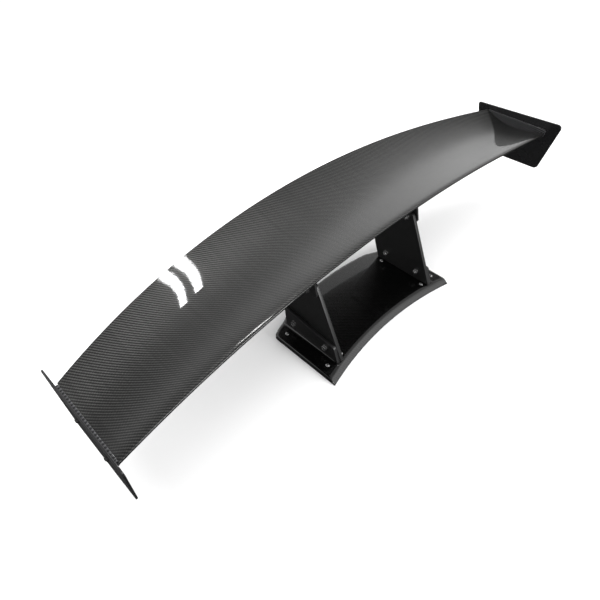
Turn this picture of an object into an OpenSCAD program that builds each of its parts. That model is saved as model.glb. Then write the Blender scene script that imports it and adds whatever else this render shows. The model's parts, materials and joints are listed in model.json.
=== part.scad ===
// Racing rear wing: a cambered carbon main plane with end plates, carried by two uprights
// on a moulded base panel, with a pivot and clamp on each side that set its angle.
// +X runs along the span to the car's left, -Y points to the car's nose, +Z is up.
// The origin is the centre of the four fixing holes, on the face that meets the car.

/* [Wing] */
// Span between the inner faces of the end plates
wing_span = 1500; // [1300:10:1600]
// Chord at the middle of the span
centre_chord = 293; // [280:1:310]
// Leading edge at the middle of the span, behind the origin's plane when positive
nose_y = -22; // [-30:1:-15]
// Height of the leading edge at the middle of the span
nose_z = 282.5; // [280:0.5:290]
// How far the leading edge sweeps forward from the middle to the tips
nose_sweep = 55.5; // [40:0.5:70]
// How far the trailing edge sweeps forward from the middle to the tips
tail_sweep = 153; // [140:1:160]
// Rise of the trailing edge above the leading edge at the middle of the span
tail_rise = 8.8; // [0:0.1:12]
// Depth of the mean line below the chord line at the middle
camber = 34; // [30:1:36]
// Largest half thickness of the section at the middle
half_thick = 14; // [12:0.5:15]
// Wall thickness of the two skins
skin = 2; // [1.5:0.1:3]
// Thickness of the trailing edge
tail_thick = 3; // [2:0.2:4]

/* [End plates] */
// Thickness of each end plate
plate_t = 4; // [3:0.5:6]
// Front and rear top corners and bottom corners of the end plate, as [y, z]
plate_top_front = [-118.5, 312.8];
plate_top_rear = [161.5, 300.5];
plate_bottom_rear = [116, 154.5];
plate_bottom_front = [-92, 158.5];
// Corner radii of the end plate, in the same order as the corners above
plate_corner = [12, 7, 14, 14];
// Thickness of the raised rib that closes each wing tip
rib_t = 5; // [4:0.5:8]
// Height of the top edge of the tip rib
rib_top = 288; // [287:0.5:292]

/* [Uprights] */
// Inner face of each upright, out from the middle of the span
upright_x = 187; // [180:1:195]
// Thickness of each upright
upright_t = 10; // [8:0.5:10]
// How far an upright leans back along its front edge, per unit of height
front_lean = 0.4925; // [0.45:0.0025:0.5]
// How far an upright leans back along its rear edge, per unit of height
rear_lean = 0.4; // [0.38:0.01:0.42]
// Height of the front top corner of the upright
upright_top = 218; // [215:1:219]

/* [Angle adjuster] */
// Place of the pivot, as [y, z]
pivot = [24, 204];
// Radius of the arc slot about the pivot
slot_r = 104; // [100:1:106]
// Lowest and highest setting of the wing, degrees of tail lift
angle_min = -3; // [-3:1:0]
angle_max = 12; // [6:1:12]
// Thickness of the bracket ear that hangs outside the upright
ear_t = 6; // [5:0.5:6]
// Underside height of the bracket's saddle
saddle_z = 232; // [231:0.5:233]

/* [Base] */
// Width of the base panel
base_w = 504; // [500:2:520]
// Height of the flat top of the base panel
base_h = 18; // [17:0.5:20]
// Wall thickness of the base panel
base_wall = 4; // [3:0.5:5]
// Front edge of the base panel at the middle, and how far its corners run forward of that
base_front = -87; // [-90:1:-84]
front_bow = 32; // [28:1:34]
// Rear edge of the base panel at the middle, and how far it has curved forward at 250 out
base_rear = 146; // [140:1:150]
rear_bow = 38; // [34:1:42]
// Depth of the sloping front lip
lip = 14; // [12:1:14]
// Corner radius at the rear of the base panel
base_corner = 18; // [14:1:20]
// Thickness of the bracket plate under the base panel
foot_t = 13.8; // [13:0.1:13.9]
// Fixing holes for the car, spacing along X and along Y
fix_x = 440; // [430:2:444]
fix_y = 80; // [60:2:100]
// Tapping radius of the fixing holes
fix_r = 3.4; // [3:0.1:3.5]

/* [Hidden] */
$fn = 64;

// Clearances
bond = 0.2;            // glue line or face gap between pieces of one assembly
run = 0.05;            // radial running clearance of the pivot
slack = 0.02;          // radial gap between a screw and its tapped hole
gap = 0.3;             // side gap between pieces that move on each other
deck = base_h - base_wall;

// Main plane
half_span = wing_span / 2;
stations = 36;         // spans of the skin along X
steps = 16;            // spans of the skin along the chord
spar_front = 0.2;      // chord fraction of each spar
spar_rear = 0.62;
spar_t = 3;            // web thickness
spar_cap = 16;         // width of the spar's caps

// Bolts, as shank radius, head width across flats, head height
m8 = [4, 13, 5.3];
m8_hole = 4.25;
washer = [8, 1.6];     // outer radius and thickness
nut_h = 6.5;
m6 = [3, 5.25, 3.3];   // shank radius, button head radius, head height
m6_hole = 3.3;
tap = 2.6;             // tapping radius for M6
bush_r = 6;            // outer radius of the pivot bushes

// Layers across the span at an upright, going outwards
upright_out = upright_x + upright_t;
spacer_t = 1.5;
ear_x = upright_out + spacer_t + gap;
ear_out = ear_x + ear_t;
flange_x = upright_out + bond;
flange_t = 9.8;
flange_out = flange_x + flange_t;

// Bracket saddle and mount block, along X and along Y
saddle_x = [172, 228];
saddle_y = [4, 164];
saddle_taper = 6;              // how far the saddle's underside stops short of its ends
ear_foot = [[-6, 192], [146, 166]];
head_sink = 3.5;               // depth of the pockets for the saddle screw heads
block_y = [42, 146];
saddle_screw_x = [181, 219];
saddle_screw_y = [62, 126];

// Base bracket
foot_x = [166, 240];
foot_y = [-82, 84];
flange_outline = [[-88.8, 8], [93, 8], [104, 84], [-69, 63]];
flange_slot = [-89.5, 96];     // opening in the panel for the flange, along Y
flange_bolt = [[-42, 44], [67, 48]];
base_screw_x = [178, 228];
base_screw_y = [-72, 72];
rib_screw = [[-50, 264], [45, 266]];
clamp = pivot + [slot_r, 0];

// Section of the main plane. t runs from 0 at the middle to 1 at a tip, s from nose to tail.
function at(x) = abs(x) / half_span;
function bow(t, square, fourth) = square * t * t + fourth * pow(t, 4);
function nose_at(t) = [nose_y - nose_sweep * bow(t, 0.8, 0.2), nose_z - bow(t, 17, -5)];
function tail_at(t) = [nose_y + centre_chord - tail_sweep * bow(t, 0.75, 0.25),
                       nose_z + tail_rise - bow(t, 24, -20)];
function mean(t, s) = nose_at(t) + s * (tail_at(t) - nose_at(t))
                      - [0, 4 * s * (1 - s) * (camber - 6 * t * t)];
function thick(t, s, h) = 4 * h * (sqrt(s) - s);
function half_h(t) = half_thick - 2 * t * t;
// Outer face at fraction s: side is 1 for the top and -1 for the underside.
function outer(t, s, side) = mean(t, s) + [0, side * (thick(t, s, half_h(t)) + s * tail_thick / 2)];
// Inner face, with its own nose and tail set in by the skin.
function inner(t, s, side) =
    let(chord = tail_at(t)[0] - nose_at(t)[0], a = skin / chord, b = 1 - 5 * skin / chord,
        w = a + s * (b - a))
    mean(t, w) + [0, side * thick(t, s, half_h(t) - skin)];
// Steps along the chord, closer together at the nose.
function chord_step(i) = pow(i / steps, 1.8);
// Height of a face at a given y, by halving the interval of s.
function s_at(t, y, lo = 0, hi = 1, n = 16) =
    n == 0 ? (lo + hi) / 2 :
    let(m = (lo + hi) / 2) mean(t, m)[0] < y ? s_at(t, y, m, hi, n - 1) : s_at(t, y, lo, m, n - 1);
function face_z(t, y, side) = outer(t, s_at(t, y), side)[1];

function station_x(i) = -half_span + rib_t + bond + i * (wing_span - 2 * (rib_t + bond)) / stations;
function lift(p, x, dz) = [x, p[0], p[1] + dz];
function skin_ring(x, side) =
    let(t = at(x), dz = side * bond / 4)
    concat([for (i = [0:steps]) lift(outer(t, chord_step(i), side), x, dz)],
           [for (i = [steps:-1:0]) lift(inner(t, chord_step(i), side), x, dz)]);

// A closed solid through rings of equal length that stand in planes across X.
module loft(rings, turn) {
    n = len(rings[0]);
    last = len(rings) - 1;
    sides = [for (i = [0:last - 1], j = [0:n - 1], k = [0, 1])
        let(a = i * n + j, b = i * n + (j + 1) % n) k == 0 ? [a, b, b + n] : [a, b + n, a + n]];
    caps = [[for (j = [n - 1:-1:0]) j], [for (j = [0:n - 1]) last * n + j]];
    faces = concat(sides, caps);
    polyhedron([for (ring = rings) each ring],
               turn ? faces : [for (f = faces) [for (k = [len(f) - 1:-1:0]) f[k]]]);
}

// Outline corners rounded to arcs.
function arc_at(p, a, b, r, n) =
    let(u = (a - p) / norm(a - p), v = (b - p) / norm(b - p), half = acos(u * v) / 2,
        c = p + (u + v) / norm(u + v) * r / sin(half), turn = 180 - 2 * half,
        from = p + u * r / tan(half) - c, to = p + v * r / tan(half) - c)
    [for (i = [0:n]) c + (from * sin((1 - i / n) * turn) + to * sin(i / n * turn)) / sin(turn)];
function rounded(p, r, n = 6) =
    let(m = len(p))
    [for (i = [0:m - 1]) each arc_at(p[i], p[(i + m - 1) % m], p[(i + 1) % m], r[i], n)];

// A plate lying across X, from an outline given as [y, z].
module side_plate(x, t) translate([x, 0, 0]) rotate([90, 0, 90]) linear_extrude(t) children();
// A cylinder along X, from x outwards.
module rod_x(x, yz, r, length) translate([x, yz[0], yz[1]]) rotate([0, 90, 0]) cylinder(length, r, r);
module both_sides() { children(); mirror([1, 0, 0]) children(); }

// ---- Wing ----

module wing_skin(side) {
    difference() {
        loft([for (i = [0:stations]) skin_ring(station_x(i), side)], side > 0);
        if (side < 0) both_sides() saddle_holes(m6_hole, 200, 60);
    }
}

// Holes on the four saddle screws of one side.
module saddle_holes(r, z, length)
    for (x = saddle_screw_x, y = saddle_screw_y) translate([x, y, z]) cylinder(length, r, r);

module upper_skin() { color("#3c3c40") wing_skin(1); }
module lower_skin() { color("#2c2c30") wing_skin(-1); }

// A channel spar between the skins at chord fraction s.
function spar_ring(x, s, way) =
    let(t = at(x), y = mean(t, s)[0], w = spar_t * way, c = spar_cap * way, e = 2 * bond,
        top = function(y) inner_z(t, y, 1) - e, low = function(y) inner_z(t, y, -1) + e,
        ring = [[y, low(y)], [y + c, low(y + c)], [y + c, low(y + c) + spar_t],
                [y + w, low(y + w) + spar_t + 1], [y + w, top(y + w) - spar_t - 1],
                [y + c, top(y + c) - spar_t], [y + c, top(y + c)], [y, top(y)]])
    [for (p = ring) lift(p, x, 0)];
function inner_z(t, y, side) =
    let(a = inner(t, 0, side)[0], b = inner(t, 1, side)[0]) inner(t, (y - a) / (b - a), side)[1];
module spar(s, way) loft([for (i = [0:stations]) spar_ring(station_x(i), s, way)], way < 0);
module front_spar() { color("#55555a") spar(spar_front, -1); }
module rear_spar() { color("#55555a") spar(spar_rear, 1); }

// The raised rib that closes the tip, standing above the top skin.
function rib_outline() =
    let(low = [for (i = [0:steps]) outer(1, chord_step(i), -1)], tail = low[steps], nose = low[0])
    concat(low, [[tail[0], rib_top]], arc_at([nose[0], rib_top - 1], [tail[0], rib_top], nose, 6, 5));
module tip_rib() {
    color("#46464a") difference() {
        side_plate(half_span - rib_t, rib_t) polygon(rib_outline());
        for (p = rib_screw) rod_x(half_span - rib_t + 1, p, tap, rib_t);
    }
}

module endplate() {
    corners = [plate_top_front, plate_top_rear, plate_bottom_rear, plate_bottom_front];
    color("#101012") difference() {
        side_plate(half_span + bond, plate_t) polygon(rounded(corners, plate_corner));
        for (p = rib_screw) rod_x(half_span - 1, p, m6_hole, plate_t + 2);
    }
}

module endplate_screws() {
    color("#2a2a2c") both_sides() for (p = rib_screw) {
        face = half_span + bond + plate_t + 1.2;
        difference() {
            rod_x(face, p, m6[1], m6[2]);
            rod_x(face + 1.2, p, 2.3, 3, $fn = 6);
        }
        rod_x(half_span - rib_t + 1.5, p, tap - slack, face - half_span + rib_t - 1);
    }
}

module endplate_washers() {
    color("#2a2a2c") both_sides() for (p = rib_screw) difference() {
        rod_x(half_span + bond + plate_t, p, 6.2, 1.2);
        rod_x(half_span, p, m6_hole, plate_t + 3);
    }
}

// Alloy block inside the wing that takes the saddle screws.
module mount_block() {
    t = at((saddle_x[0] + saddle_x[1]) / 2);
    n = 8;
    ys = [for (i = [0:n]) block_y[0] + i * (block_y[1] - block_y[0]) / n];
    low = [for (y = ys) [y, inner_z(t, y, -1) + 0.6]];
    top = [for (i = [n:-1:0]) [ys[i], inner_z(t, ys[i], 1) - 0.6]];
    color("#a8a8ac") difference() {
        side_plate(saddle_x[0] - 2, saddle_x[1] - saddle_x[0] + 4) polygon(concat(low, top));
        saddle_holes(tap, 235, 25);
    }
}

// Saddle under the wing, with the ear that hangs outside the upright.
module wing_bracket() {
    n = 12;
    ends = [at(saddle_x[0]), at(saddle_x[1])];
    ys = [for (i = [0:n]) saddle_y[0] + i * (saddle_y[1] - saddle_y[0]) / n];
    top = [for (y = ys) [y, min(face_z(ends[0], y, -1), face_z(ends[1], y, -1)) - 2 * bond]];
    saddle = concat([[saddle_y[1] - saddle_taper, saddle_z], [saddle_y[0] + saddle_taper, saddle_z]], top);
    ear_top = [[saddle_y[1] - 4, saddle_z + 3], [saddle_y[0] + 2, saddle_z + 3]];
    color("#18181a") difference() {
        union() {
            side_plate(saddle_x[0], saddle_x[1] - saddle_x[0]) polygon(saddle);
            side_plate(ear_x, ear_t) polygon(rounded(concat(ear_foot, ear_top), [9, 12, 2, 2]));
        }
        rod_x(ear_x - 1, pivot, bush_r, ear_t + 2);
        arc_slot();
        saddle_holes(m6_hole, saddle_z - 20, 60);
        saddle_holes(m6[1] + 0.4, saddle_z - 20, 20 + head_sink);
    }
}

// Slot about the pivot that the clamp bolt slides in as the wing turns.
module arc_slot() {
    half = m8_hole + 0.15;
    from = -angle_max - 1;
    to = -angle_min + 1;
    n = 8;
    spot = function(r, a) pivot + r * [cos(a), sin(a)];
    sweep = function(r, a, b) [for (i = [0:n]) spot(r, a + (b - a) * i / n)];
    cap = function(a, way) [for (i = [1:n - 1])
        let(turn = a + way * 180 * i / n) spot(slot_r, a) + half * [cos(turn), sin(turn)]];
    side_plate(ear_x - 1, ear_t + 2) polygon(concat(
        sweep(slot_r + half, from, to), cap(to, 1),
        sweep(slot_r - half, to, from), [for (i = [n - 1:-1:1]) cap(from, -1)[i - 1]]));
}

module bracket_screws() {
    color("silver") both_sides() for (x = saddle_screw_x, y = saddle_screw_y) translate([x, y, 0]) {
        translate([0, 0, saddle_z + 0.2]) difference() {
            cylinder(m6[2], m6[1], m6[1]);
            translate([0, 0, -1]) cylinder(3, 2.3, 2.3, $fn = 6);
        }
        translate([0, 0, saddle_z + 3]) cylinder(24, tap - slack, tap - slack);
    }
}

module pivot_bushes() {
    color("#b08d57") both_sides() difference() {
        rod_x(ear_x, pivot, bush_r - slack, ear_t);
        rod_x(ear_x - 1, pivot, m8[0] + run, ear_t + 2);
    }
}

// ---- Base ----

front_r = (pow(base_w / 2, 2) + pow(front_bow, 2)) / (2 * front_bow);
rear_r = (pow(250, 2) + pow(rear_bow, 2)) / (2 * rear_bow);

// Plan of the base panel, set in by the inset all round and by the toe at the front.
function base_plan(inset, toe = 0) =
    let(w = base_w / 2 - inset, big = rear_r - inset, small = base_corner - inset,
        front = front_r + inset + toe, centre_y = base_rear - rear_r, corner_x = w - small,
        corner_y = centre_y + sqrt(pow(big - small, 2) - pow(corner_x, 2)),
        meet = asin(corner_x / (big - small)), n = 24,
        nose = [for (i = [0:n]) corner(asin(w / front) * i / n, front, 0, base_front - front_r)],
        turn = [for (i = [0:6]) corner(90 + i * (meet - 90) / 6, small, corner_x, corner_y)],
        tail = [for (i = [1:n]) corner(meet * (1 - i / n), big, 0, centre_y)],
        right = concat(nose, turn, tail), last = len(right) - 1)
    concat(right, [for (i = [last - 1:-1:1]) [-right[i][0], right[i][1]]]);
// A point at an angle clockwise from +Y on a circle.
function corner(a, r, x, y) = [x + r * sin(a), y + r * cos(a)];

module base_panel() {
    color("#0c0c0e") difference() {
        // upright edge, then the sloping front lip
        loft([for (level = [[0, 0], [4, 0], [base_h, lip]])
            [for (p = base_plan(0, level[1])) [p[0], p[1], level[0]]]], false);
        translate([0, 0, -1]) linear_extrude(deck + 1) polygon(base_plan(base_wall + 0.5, lip - 2));
        both_sides() {
            // slot for the flange of the base bracket
            translate([flange_x - gap, flange_slot[0], deck - 7])
                cube([flange_t + 2 * gap, flange_slot[1] - flange_slot[0], base_wall + 8]);
            for (x = base_screw_x, y = base_screw_y)
                translate([x, y, deck - 1]) cylinder(base_wall + 2, m6_hole, m6_hole);
        }
    }
}

// Alloy plate under the base panel, with the flange that rises through it.
module base_bracket() {
    color("#141416") difference() {
        union() {
            translate([foot_x[0], foot_y[0], 0])
                cube([foot_x[1] - foot_x[0], foot_y[1] - foot_y[0], foot_t]);
            side_plate(flange_x, flange_t) polygon(rounded(flange_outline, [2, 2, 5, 10]));
        }
        for (p = flange_bolt) rod_x(flange_x - 1, p, m8_hole, flange_t + 2);
        for (x = base_screw_x, y = base_screw_y) translate([x, y, 1]) cylinder(foot_t, tap, tap);
        for (y = [-fix_y / 2, fix_y / 2])
            translate([fix_x / 2, y, -1]) cylinder(foot_t + 2, fix_r, fix_r);
    }
}

module upright() {
    low = base_h + bond;
    front = function(z) -100.5 + front_lean * z;
    rear = function(z) 85.8 + rear_lean * z;
    top_rear = upright_top - 4;
    outline = rounded([[front(low), low], [rear(low), low], [rear(top_rear), top_rear],
                       [front(upright_top), upright_top]], [3, 3, 14, 10]);
    color("#1a1a1c") difference() {
        side_plate(upright_x, upright_t) polygon(outline);
        for (p = concat(flange_bolt, [pivot, clamp]))
            rod_x(upright_x - 1, p, m8_hole, upright_t + 2);
    }
}

module base_screws() {
    color("silver") both_sides() for (x = base_screw_x, y = base_screw_y) translate([x, y, 0]) {
        translate([0, 0, base_h + 0.1]) difference() {
            cylinder(m6[2], m6[1], m6[1]);
            translate([0, 0, 1.4]) cylinder(3, 2.3, 2.3, $fn = 6);
        }
        translate([0, 0, 3]) cylinder(base_h, tap - slack, tap - slack);
    }
}

// ---- Bolts through the uprights ----

// Hexagon head outside, shank inwards to just past the nut.
module hex_bolt(yz, head_x) {
    end_x = upright_x - washer[1] - nut_h - 2.5;
    rod_x(head_x, yz, m8[1] / sqrt(3), m8[2], $fn = 6);
    rod_x(end_x, yz, m8[0], head_x - end_x + 1);
}
module ring_x(x, yz, t, r, bore) difference() {
    rod_x(x, yz, r, t);
    rod_x(x - 1, yz, bore, t + 2);
}
module hex_nut(yz) difference() {
    rod_x(upright_x - washer[1] - nut_h, yz, m8[1] / sqrt(3), nut_h - 0.1, $fn = 6);
    rod_x(upright_x - washer[1] - nut_h - 1, yz, m8[0] + run, nut_h + 2);
}
module inner_washer(yz) ring_x(upright_x - washer[1], yz, washer[1] - 0.1, washer[0], m8_hole);
module outer_washer(x, yz) ring_x(x, yz, washer[1] - 0.1, washer[0], m8_hole);

module flange_bolts() {
    color("silver") both_sides() for (p = flange_bolt) hex_bolt(p, flange_out + washer[1]);
}

module flange_nuts() { color("silver") both_sides() for (p = flange_bolt) hex_nut(p); }
module flange_washers() {
    color("silver") both_sides() for (p = flange_bolt) {
        inner_washer(p);
        outer_washer(flange_out, p);
    }
}

// Head washer, friction washer against the upright, and nut washer of an adjuster bolt.
module adjuster_washers(yz) {
    inner_washer(yz);
    outer_washer(ear_out + gap, yz);
    ring_x(upright_out + 0.02, yz, spacer_t - 0.04, washer[0] + 2, m8_hole);
}
module pivot_bolts() { color("silver") both_sides() hex_bolt(pivot, ear_out + gap + washer[1]); }
module pivot_washers() { color("silver") both_sides() adjuster_washers(pivot); }
module pivot_nuts() { color("silver") both_sides() hex_nut(pivot); }
module clamp_bolts() { color("silver") both_sides() hex_bolt(clamp, ear_out + gap + washer[1]); }
module clamp_washers() { color("silver") both_sides() adjuster_washers(clamp); }
module clamp_nuts() { color("silver") both_sides() hex_nut(clamp); }

upper_skin();
lower_skin();
front_spar();
rear_spar();
tip_rib();  // tip_rib_left
mirror([1, 0, 0]) tip_rib();  // tip_rib_right
mount_block();  // mount_block_left
mirror([1, 0, 0]) mount_block();  // mount_block_right
endplate();  // endplate_left
mirror([1, 0, 0]) endplate();  // endplate_right
endplate_screws();
endplate_washers();
wing_bracket();  // wing_bracket_left
mirror([1, 0, 0]) wing_bracket();  // wing_bracket_right
bracket_screws();
pivot_bushes();
base_panel();
base_bracket();  // base_bracket_left
mirror([1, 0, 0]) base_bracket();  // base_bracket_right
upright();  // upright_left
mirror([1, 0, 0]) upright();  // upright_right
base_screws();
flange_bolts();
flange_washers();
flange_nuts();
pivot_bolts();
pivot_washers();
pivot_nuts();
clamp_bolts();
clamp_washers();
clamp_nuts();
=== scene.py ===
import json
import math

import bmesh
import bpy
from mathutils import Matrix, Vector


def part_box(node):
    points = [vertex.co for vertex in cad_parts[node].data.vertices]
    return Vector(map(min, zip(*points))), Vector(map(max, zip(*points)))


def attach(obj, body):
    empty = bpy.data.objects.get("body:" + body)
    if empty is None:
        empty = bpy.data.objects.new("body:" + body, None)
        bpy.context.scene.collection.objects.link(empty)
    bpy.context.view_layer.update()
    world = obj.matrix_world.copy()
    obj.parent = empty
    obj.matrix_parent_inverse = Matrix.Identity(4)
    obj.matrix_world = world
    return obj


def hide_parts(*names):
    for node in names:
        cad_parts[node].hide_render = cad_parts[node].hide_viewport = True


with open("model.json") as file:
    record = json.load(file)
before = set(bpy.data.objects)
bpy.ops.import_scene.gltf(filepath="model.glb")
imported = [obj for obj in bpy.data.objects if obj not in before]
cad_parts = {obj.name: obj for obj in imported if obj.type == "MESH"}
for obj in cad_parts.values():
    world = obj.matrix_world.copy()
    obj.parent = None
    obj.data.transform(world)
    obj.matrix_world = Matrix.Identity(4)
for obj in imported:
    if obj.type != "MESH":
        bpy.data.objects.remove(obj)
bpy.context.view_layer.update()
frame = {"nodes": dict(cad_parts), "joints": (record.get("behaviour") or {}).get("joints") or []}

# The racing rear wing is drawn in millimetres here and scaled to metres when a mesh is made.
# +X runs along the span to the car's left, -Y points to the car's nose, +Z is up.
MM = 0.001


def box_mm(node):
    """Lowest and highest corner of a CAD node, in millimetres."""
    low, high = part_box(node)
    return low / MM, high / MM


# ---------------------------------------------------------------- sizes from the frame

PLATE_LOW, PLATE_HIGH = box_mm("endplate_left")
RIB_LOW, RIB_HIGH = box_mm("tip_rib_left")
UPRIGHT_LOW, UPRIGHT_HIGH = box_mm("upright_left")
FOOT_LOW, FOOT_HIGH = box_mm("base_bracket_left")
SADDLE_LOW, SADDLE_HIGH = box_mm("wing_bracket_left")
BASE_HIGH = box_mm("base_panel")[1]
HALF_SPAN = RIB_HIGH.x
SKIN_END = box_mm("upper_skin")[1].x
PIVOT = (frame["joints"][0]["pos_m"][1] / MM, frame["joints"][0]["pos_m"][2] / MM)
SLOT_R = 104
CLAMP = (PIVOT[0] + SLOT_R, PIVOT[1])
FLANGE_BOLTS = ((-42, 44), (67, 48))
RIB_SCREWS = ((-50, 264), (45, 266))
BASE_SCREWS = [(x, y) for x in (178, 228) for y in (-72, 72)]
SADDLE_SCREWS = [(x, y) for x in (181, 219) for y in (62, 126)]
FIXING_HOLES = ((220, -40), (220, 40))
FLANGE_X = (197.2, 207)
EAR_X = (198.8, 204.8)
SIDE_GAP = 0.3    # beside a flange in its slot, and between pieces that move on each other
WASHER_T = 1.6
M8_HOLE, M6_HOLE, M6_TAPPED, FIXING_HOLE = 4.25, 3.3, 2.6, 3.4    # radii
TOW = 1.95        # width of a carbon tow
BOTH_ENDS = ((False, "left"), (True, "right"))    # whether a side is mirrored, and its name


# ---------------------------------------------------------------- mesh building

class Build:
    """Gathers the vertices, faces and weave coordinates of one piece."""

    def __init__(self):
        self.verts, self.faces, self.weave = [], [], []

    def ring_faces(self, first, rings, n, closed_ring=True, closed_loft=False):
        """Joins rings of n vertices each, counted from index first."""
        for i in range(rings if closed_loft else rings - 1):
            a, b = first + i * n, first + (i + 1) % rings * n
            for j in range(n if closed_ring else n - 1):
                k = (j + 1) % n
                self.faces.append((a + j, a + k, b + k, b + j))

    def loft(self, rings, place=None, caps=(True, True), closed_loft=False, weave=None):
        """A surface through rings of equal length. weave gives a (u, v) for each vertex."""
        first, n = len(self.verts), len(rings[0])
        place = place or Matrix.Identity(4)
        for ring in rings:
            self.verts += [place @ Vector(p) for p in ring]
        self.weave += [q for ring in weave for q in ring] if weave else [None] * (n * len(rings))
        self.ring_faces(first, len(rings), n, closed_loft=closed_loft)
        if caps[0] and not closed_loft:
            self.faces.append(tuple(range(first + n - 1, first - 1, -1)))
        if caps[1] and not closed_loft:
            last = first + (len(rings) - 1) * n
            self.faces.append(tuple(range(last, last + n)))

    def lathe(self, profile, place, segments=40, closed=False, shape=None):
        """Turns a (radius, height) profile about local Z. shape trims a radius at an angle."""
        rings = []
        for radius, height in profile:
            ring = []
            for i in range(segments):
                a = 2 * math.pi * i / segments
                r = shape(radius, a) if shape else radius
                ring.append((r * math.cos(a), r * math.sin(a), height))
            rings.append(ring)
        self.loft(rings, place, closed_loft=closed)

    def mesh(self, name):
        data = bpy.data.meshes.new(name)
        data.from_pydata([v * MM for v in map(Vector, self.verts)], [], self.faces)
        uv = data.uv_layers.new(name="weave")
        for loop in data.loops:
            co = self.weave[loop.vertex_index] or self.verts[loop.vertex_index][:2]
            uv.data[loop.index].uv = (co[0] * MM, co[1] * MM)
        return data


def tidy(data, angle=35, weld=1e-7, flat=""):
    """Welds doubles, points the faces outwards, and smooths all but the sharp edges.

    Faces square to an axis named in flat are a plate's broad faces. They are kept apart from
    their eased rim, so the rim's normals don't bend them.
    """
    bm = bmesh.new()
    bm.from_mesh(data)
    bmesh.ops.remove_doubles(bm, verts=bm.verts, dist=weld)
    bmesh.ops.recalc_face_normals(bm, faces=bm.faces)
    for face in bm.faces:
        face.smooth = True
    limit = math.radians(angle)
    broad = {face for face in bm.faces if any(abs(face.normal["XYZ".index(a)]) > 0.99999 for a in flat)}
    for edge in bm.edges:
        sides = edge.link_faces
        edge.smooth = len(sides) == 2 and edge.calc_face_angle(0) < limit
        if edge.smooth and (sides[0] in broad) != (sides[1] in broad):
            edge.smooth = False
    bm.to_mesh(data)
    bm.free()


def add_piece(name, data, body, material, node):
    """Puts a finished mesh in the scene, riding on its body in place of its CAD node."""
    obj = bpy.data.objects.new(name, data)
    bpy.context.scene.collection.objects.link(obj)
    data.materials.clear()
    data.materials.append(material)
    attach(obj, body)
    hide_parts(node)


def arc(centre, radius, a, b, n):
    """Points on a circle from angle a to angle b, in degrees."""
    out = []
    for i in range(n + 1):
        t = math.radians(a + (b - a) * i / n)
        out.append((centre[0] + radius * math.cos(t), centre[1] + radius * math.sin(t)))
    return out


def circle(centre, radius, n=40):
    return arc(centre, radius, 0, 360 - 360 / n, n - 1)


def rounded(corners, radii, n=8):
    """An outline with its corners turned into arcs."""
    out = []
    for i, corner in enumerate(corners):
        p = Vector(corner)
        u = (Vector(corners[i - 1]) - p).normalized()
        v = (Vector(corners[(i + 1) % len(corners)]) - p).normalized()
        half = u.angle(v) / 2
        centre = p + (u + v).normalized() * radii[i] / math.sin(half)
        start = p + u * radii[i] / math.tan(half) - centre
        end = p + v * radii[i] / math.tan(half) - centre
        turn = math.pi - 2 * half
        for k in range(n + 1):
            w = k / n
            q = start * math.sin((1 - w) * turn) + end * math.sin(w * turn)
            out.append(tuple(centre + q / math.sin(turn)))
    return out


def plate(outline, holes, low, high, edge, axis="X", mirror=False):
    """A flat plate with eased edges from an outline and its holes.

    Across X the outline is (y, z), across Z it is (x, y). low and high are its two faces.
    """
    curve = bpy.data.curves.new("plate", "CURVE")
    curve.dimensions = "2D"
    curve.fill_mode = "BOTH"
    curve.extrude = (high - low) / 2 - edge
    curve.bevel_depth = edge
    curve.bevel_resolution = 2
    curve.offset = -edge
    for points in [outline] + list(holes):
        spline = curve.splines.new("POLY")
        spline.points.add(len(points) - 1)
        for point, p in zip(spline.points, points):
            point.co = (p[0], p[1], 0, 1)
        spline.use_cyclic_u = True
    holder = bpy.data.objects.new("plate", curve)
    bpy.context.scene.collection.objects.link(holder)
    bpy.context.view_layer.update()
    data = bpy.data.meshes.new_from_object(holder.evaluated_get(bpy.context.evaluated_depsgraph_get()))
    bpy.data.objects.remove(holder)
    bpy.data.curves.remove(curve)
    side = -1 if mirror else 1
    middle = (low + high) / 2
    turn = Matrix(((0, 0, side, side * middle), (1, 0, 0, 0), (0, 1, 0, 0), (0, 0, 0, 1)))
    if axis == "Z":
        turn = Matrix(((side, 0, 0, 0), (0, 1, 0, 0), (0, 0, 1, middle), (0, 0, 0, 1)))
    data.transform(Matrix.Scale(MM, 4) @ turn)
    weave_from_place(data, axis)
    return data


def weave_from_place(data, across):
    """Lays the weave flat on a plate: its coordinates are the two that the plate spans."""
    while data.uv_layers:
        data.uv_layers.remove(data.uv_layers[0])
    uv = data.uv_layers.new(name="weave")
    pick = {"X": (1, 2), "Z": (0, 1)}[across]
    for loop in data.loops:
        co = data.vertices[loop.vertex_index].co
        uv.data[loop.index].uv = (co[pick[0]], co[pick[1]])


def joined(parts):
    """One mesh from several."""
    bm = bmesh.new()
    for data in parts:
        bm.from_mesh(data)
    whole = bpy.data.meshes.new("joined")
    bm.to_mesh(whole)
    bm.free()
    for data in parts:
        bpy.data.meshes.remove(data)
    return whole


def cut(data, cutters):
    """Takes the cutter meshes out of a mesh."""
    holder = bpy.data.objects.new("cut", data)
    bpy.context.scene.collection.objects.link(holder)
    tool = bpy.data.objects.new("cutter", joined(cutters))
    bpy.context.scene.collection.objects.link(tool)
    step = holder.modifiers.new("cut", "BOOLEAN")
    step.operation = "DIFFERENCE"
    step.solver = "EXACT"
    step.object = tool
    bpy.context.view_layer.update()
    out = bpy.data.meshes.new_from_object(holder.evaluated_get(bpy.context.evaluated_depsgraph_get()))
    bpy.data.objects.remove(holder)
    bpy.data.objects.remove(tool)
    return out


def peg(place, radius, low, high, segments=32):
    """A plain round cutter along local Z."""
    build = Build()
    build.lathe([(radius, low), (radius, high)], place, segments)
    data = build.mesh("peg")
    tidy(data)
    return data


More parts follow.
